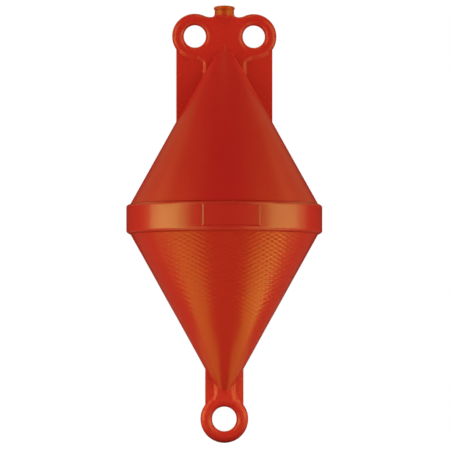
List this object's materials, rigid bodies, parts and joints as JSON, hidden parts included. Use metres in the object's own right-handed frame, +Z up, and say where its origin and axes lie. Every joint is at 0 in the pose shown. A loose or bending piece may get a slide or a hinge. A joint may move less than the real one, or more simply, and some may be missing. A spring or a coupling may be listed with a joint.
{
  "type": "bi-conical mooring and marker buoy",
  "caption": "Bi-conical hollow plastic buoy with a raised waist band, a flat top lug with eyes beside a plugged filler neck, and a mooring eye below; floats to mark a mooring.",
  "frame": {"origin": "on the buoy's axis at the mid-plane of the waist band, taken as the waterline", "axes": "+Z up along the axis towards the lug with the eyes and the filler, -Y out of the front with the label field, eyes along Y"},
  "size_m": [0.32, 0.32, 0.7156],
  "materials": {
    "float_plastic": "satin moulded polyethylene, red-orange, coloured through"
  },
  "bodies": {
    "root": {"upper_cone": "float_plastic", "lower_cone": "float_plastic", "waist_band": "float_plastic", "top_lug": "float_plastic", "top_eye_left": "float_plastic", "top_eye_right": "float_plastic", "top_web_left": "float_plastic", "top_web_right": "float_plastic", "filler_neck": "float_plastic", "filler_plug": "float_plastic", "bottom_rib": "float_plastic", "bottom_eye": "float_plastic", "bottom_web_left": "float_plastic", "bottom_web_right": "float_plastic"}
  },
  "joints": []
}
